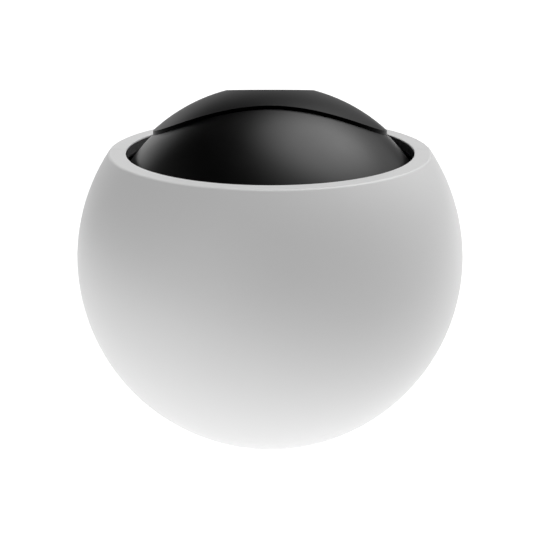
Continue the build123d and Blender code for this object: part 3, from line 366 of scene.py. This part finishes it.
# ---------------------------------------------------------------------------------------------
# Woofer: a powder-coated steel basket with a ferrite magnet, a copper voice coil, a pressed
# paper cone with a rolled rubber edge, and a corrugated cloth spider. A ring clamps its edge.
# ---------------------------------------------------------------------------------------------
def powder_coat():
    finish = Finish("powder_coat")
    peel = finish.noise(1100.0, 2.0)
    return finish.skin(
        base_color=finish.between(peel, (0.018, 0.018, 0.019), (0.034, 0.034, 0.035)),
        roughness=peel * 0.15 + 0.38,
        normal=finish.relief(peel, 0.00005, 0.7),
    )


def zinc_plate():
    finish = Finish("zinc_plate")
    spangle = finish.node("ShaderNodeTexVoronoi", {}, {"Vector": finish.place(), "Scale": 320.0}, "Color")
    shade = finish.node("ShaderNodeSeparateColor", {}, {"Color": spangle})
    return finish.skin(
        base_color=finish.between(shade, (0.42, 0.43, 0.44), (0.62, 0.63, 0.64)),
        metallic=1.0,
        roughness=shade * 0.2 + 0.28,
    )


def sintered_ferrite():
    finish = Finish("sintered_ferrite")
    grain = finish.noise(1900.0, 4.0, rough=0.7)
    return finish.skin(
        base_color=finish.between(grain, (0.030, 0.029, 0.029), (0.085, 0.083, 0.082)),
        roughness=grain * 0.2 + 0.62,
        normal=finish.relief(grain, 0.00006, 0.8),
    )


def stripes(finish, way, pitch):
    """Smooth stripes across one axis, one every pitch metres."""
    bands = {"wave_type": "BANDS", "bands_direction": way, "wave_profile": "SIN"}
    scale_of_one_metre = 2 * pi / 20  # the wave node repeats every 20 radians per unit of scale
    lines = {"Vector": finish.place(), "Scale": scale_of_one_metre / pitch}
    return finish.node("ShaderNodeTexWave", bands, lines)


def copper_winding():
    """Enamelled wire, one turn every quarter of a millimetre."""
    finish = Finish("copper_winding")
    turns = stripes(finish, "Z", 0.00025)
    return finish.skin(
        base_color=finish.between(turns, (0.32, 0.10, 0.04), (0.83, 0.38, 0.19)),
        metallic=0.95,
        roughness=turns * -0.15 + 0.42,
        normal=finish.relief(turns, 0.00008, 0.8),
    )


def pressed_paper(name, dark, light):
    finish = Finish(name)
    fibres = finish.noise(900.0, 5.0, finish.place(stretch=(1.0, 1.0, 3.0)), 0.7)
    return finish.skin(
        base_color=finish.between(fibres, dark, light),
        roughness=fibres * 0.1 + 0.8,
        normal=finish.relief(fibres, 0.00012, 0.8),
    )


def woven_cloth(name, dark, light, pitch, holes=0.0):
    """Plain weave with threads along X and Y; holes is how open the weave is."""
    finish = Finish(name)
    warp = stripes(finish, "X", pitch)
    weft = stripes(finish, "Y", pitch)
    crown = finish.node("ShaderNodeMath", {"operation": "MAXIMUM"}, {0: warp, 1: weft})
    extra = {"alpha": crown > holes} if holes else {}
    return finish.skin(
        base_color=finish.between(crown, dark, light),
        roughness=0.85,
        specular_ior_level=0.2,
        normal=finish.relief(crown, pitch * 0.3, 0.8),
        **extra,
    )


def roll_rubber():
    finish = Finish("roll_rubber")
    bloom = finish.noise(220.0, 3.0)
    return finish.skin(
        base_color=finish.between(bloom, (0.018, 0.018, 0.018), (0.042, 0.041, 0.041)),
        roughness=bloom * 0.12 + 0.5,
        normal=finish.relief(finish.noise(1800.0, 1.0), 0.00001, 0.5),
    )


zinc = zinc_plate()
dress(powder_coat(), "basket", "clamp_ring")
dress(zinc, "top_plate", "yoke")
dress(sintered_ferrite(), "magnet")
dress(copper_winding(), "voice_coil")
dress(pressed_paper("cone_paper", (0.020, 0.020, 0.021), (0.070, 0.069, 0.068)), "cone", "dust_cap")
dress(roll_rubber(), "surround")
dress(woven_cloth("spider_cloth", (0.30, 0.20, 0.09), (0.62, 0.47, 0.26), 0.0006), "spider")
dress(steel, "woofer_screws")

# ---------------------------------------------------------------------------------------------
# Sound chamber: four hollow pillars carry a black cone-shaped diffuser that turns the woofer's
# sound outward. A fine black cloth across the ring-shaped gap keeps dust and fingers out.
# ---------------------------------------------------------------------------------------------
dress(tub_black, "pillars", "diffuser")
dress(woven_cloth("dust_cloth", (0.004, 0.004, 0.004), (0.022, 0.022, 0.023), 0.0005, 0.35), "dust_mesh")

# ---------------------------------------------------------------------------------------------
# Black ball: the polished dome that fills the opening, screwed down through the pillars, and
# the cap, which stands 1 mm proud of it and moves down against two steel springs.
# ---------------------------------------------------------------------------------------------
def cap_gloss():
    """The cap's polish stops at its side wall, which is painted matt black with no shine as painted shade
    for the dark line under the cap's edge.
    """
    finish = Finish("cap_gloss")
    shape = finish.node("ShaderNodeNewGeometry", {}, {}, "Normal")
    outward = finish.node(
        "ShaderNodeVectorMath", {"operation": "SUBTRACT"}, {0: finish.place(), 1: tuple(ball_centre)}
    )
    straight = finish.node("ShaderNodeVectorMath", {"operation": "NORMALIZE"}, {0: outward})
    compare = {"operation": "DOT_PRODUCT"}
    facing = finish.node("ShaderNodeVectorMath", compare, {0: shape, 1: straight}, "Value")
    # painted shade: where the surface faces sideways, on the side wall, it gets a near-black colour and no
    # shine
    polished_top_vs_shaded_wall = faded(finish, facing, 0.35, 0.75)
    haze = finish.noise(95.0, 3.0)
    return finish.skin(
        base_color=finish.between(polished_top_vs_shaded_wall, (0.0008,) * 3, (0.0075, 0.0075, 0.0077)),
        roughness=polished_top_vs_shaded_wall * -0.5 + haze * 0.07 + 0.83,
        specular_ior_level=polished_top_vs_shaded_wall * 0.16,
        normal=finish.relief(finish.noise(420.0, 1.0), 0.000002, 0.5),
    )


dress(black_gloss("ball_gloss", (0.0006, 0.0006, 0.0006), 0.30, 0.000002, 0.38), "dome")
dress(cap_gloss(), "control_cap")
dress(steel, "dome_screws", "cap_springs", "cap_screws", "control_screws")

# a copy of the springs' mesh stands in for the CAD node, which is hidden
cap_coils = bpy.data.objects.new("cap_coils", nodes["cap_springs"].data.copy())
bpy.context.scene.collection.objects.link(cap_coils)
cap_coils.matrix_world = nodes["cap_springs"].matrix_world
for place in cap_coils.material_slots:
    place.material = steel
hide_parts("cap_springs")
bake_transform(cap_coils)

# ---------------------------------------------------------------------------------------------
# Touch pad: a round black glass let into the cap's flat, with one small light at its middle and
# four microphone holes round it.
# ---------------------------------------------------------------------------------------------
def pad_glass():
    finish = Finish("pad_glass")
    smear = finish.noise(140.0, 4.0, finish.place(stretch=(1.0, 2.5, 1.0), turn=(0.0, 0.0, 0.6)), 0.6)
    wiped = finish.node(
        "ShaderNodeValToRGB", {"stops": [(0.45, 0.0), (0.72, 1.0)]}, {"Fac": smear}
    )
    return finish.skin(
        base_color=finish.between(wiped, (0.006, 0.006, 0.007), (0.016, 0.016, 0.017)),
        roughness=finish.node("ShaderNodeRGBToBW", {}, {"Color": wiped}) * 0.16 + 0.06,
    )


def light_window():
    """Frosted lens over the light, softly lit from below."""
    finish = Finish("light_window")
    frost = finish.noise(2600.0, 2.0)
    return finish.skin(
        base_color=finish.between(frost, (0.50, 0.52, 0.54), (0.66, 0.68, 0.70)),
        roughness=frost * 0.2 + 0.4,
        emission_color=finish.between(frost, (0.55, 0.60, 0.66), (0.75, 0.80, 0.86)),
        emission_strength=0.12,
    )


dress(pad_glass(), "touch_pad")
dress(light_window(), "light_dot")

# ---------------------------------------------------------------------------------------------
# Circuit boards: fibreglass under green solder mask with copper tracks, tin-plated cans and
# black chips. One board reads the cap, one drives the woofer and one carries the ports.
# ---------------------------------------------------------------------------------------------
def solder_mask():
    finish = Finish("solder_mask")
    spot = finish.place()
    tracks = finish.node(
        "ShaderNodeTexBrick",
        {"offset": 0.37, "offset_frequency": 2, "squash": 1.6, "squash_frequency": 3},
        {"Vector": spot, "Scale": 260.0, "Mortar Size": 0.09, "Brick Width": 0.9, "Row Height": 0.32},
        "Fac",
    )
    weave = finish.noise(2400.0, 2.0)
    return finish.skin(
        base_color=finish.between(tracks, (0.006, 0.060, 0.030), (0.020, 0.150, 0.075)),
        roughness=weave * 0.12 + 0.3,
        normal=finish.relief(tracks + weave * 0.2, 0.00003, 0.6),
    )


def tin_can():
    finish = Finish("tin_can")
    rub = finish.noise(700.0, 3.0, finish.place(stretch=(0.2, 1.0, 1.0)))
    return finish.skin(
        base_color=finish.between(rub, (0.52, 0.52, 0.51), (0.70, 0.70, 0.69)),
        metallic=1.0,
        roughness=rub * 0.2 + 0.22,
    )


def extruded_aluminium():
    finish = Finish("extruded_aluminium")
    draw = finish.noise(1500.0, 2.0, finish.place(stretch=(1.0, 0.04, 1.0)))
    return finish.skin(
        base_color=finish.between(draw, (0.56, 0.57, 0.58), (0.74, 0.75, 0.76)),
        metallic=1.0,
        roughness=draw * 0.2 + 0.28,
        normal=finish.relief(draw, 0.00002, 0.6),
    )


def turned_brass():
    finish = Finish("turned_brass")
    lines = finish.noise(1200.0, 2.0, finish.place(stretch=(1.0, 1.0, 8.0)))
    return finish.skin(
        base_color=finish.between(lines, (0.55, 0.40, 0.16), (0.76, 0.58, 0.27)),
        metallic=1.0,
        roughness=lines * 0.15 + 0.25,
    )


tin = tin_can()
chip_black = moulded_plastic("chip_black", (0.018, 0.018, 0.019), 0.7, 0.45)
dress(solder_mask(), "pad_board", "control_board", "main_board", "port_board")
dress(tin, "microphones", "shield_can")
dress(extruded_aluminium(), "heat_sink")
dress(turned_brass(), "board_spacers")
dress(chip_black, "capacitors", "switch_body", "switch_stem", "mic_switch", "pairing_switch")
dress(steel, "board_screws")

# ---------------------------------------------------------------------------------------------
# Rear port panel: a charcoal insert low on the back, screwed on from inside. It holds the power
# inlet with its tinned shell, the microphone slide switch and the pairing button.
# ---------------------------------------------------------------------------------------------
def worn_knob():
    """Black plastic, polished where fingers touch it."""
    finish = Finish("worn_knob")
    touch = finish.noise(420.0, 3.0)
    return finish.skin(
        base_color=finish.between(touch, (0.020, 0.020, 0.021), (0.038, 0.038, 0.039)),
        roughness=touch * 0.2 + 0.32,
        normal=finish.relief(finish.noise(3000.0, 1.0), 0.00001, 0.5),
    )


def soften(name, width):
    """Breaks a CAD node's sharp edges, as a mould does."""
    edge = nodes[name].modifiers.new("soft_edges", "BEVEL")
    edge.width = width
    edge.segments = 2
    edge.limit_method = "ANGLE"
    edge.angle_limit = radians(50)


knob_black = worn_knob()
for moulding in ("port_panel", "mic_knob", "pairing_button"):
    soften(moulding, 0.00015)
dress(moulded_plastic("port_charcoal", (0.045, 0.045, 0.047), 0.8, 0.5), "port_panel", "inlet_tongue")
dress(tin, "power_inlet")
dress(knob_black, "mic_knob", "pairing_button")
dress(steel, "panel_screws")

# ---------------------------------------------------------------------------------------------
# Cables: a flat ribbon from the cap's board to the main board, and a flat twin lead from the
# main board to the woofer, both routed through slots in the tub and the baffle.
# ---------------------------------------------------------------------------------------------
def ribbon_plastic():
    finish = Finish("ribbon_plastic")
    cores = stripes(finish, "X", 0.001)
    return finish.skin(
        base_color=finish.between(cores, (0.16, 0.16, 0.16), (0.42, 0.42, 0.41)),
        roughness=0.5,
        normal=finish.relief(cores, 0.00015, 0.7),
    )


dress(ribbon_plastic(), "control_ribbon", "speaker_lead")
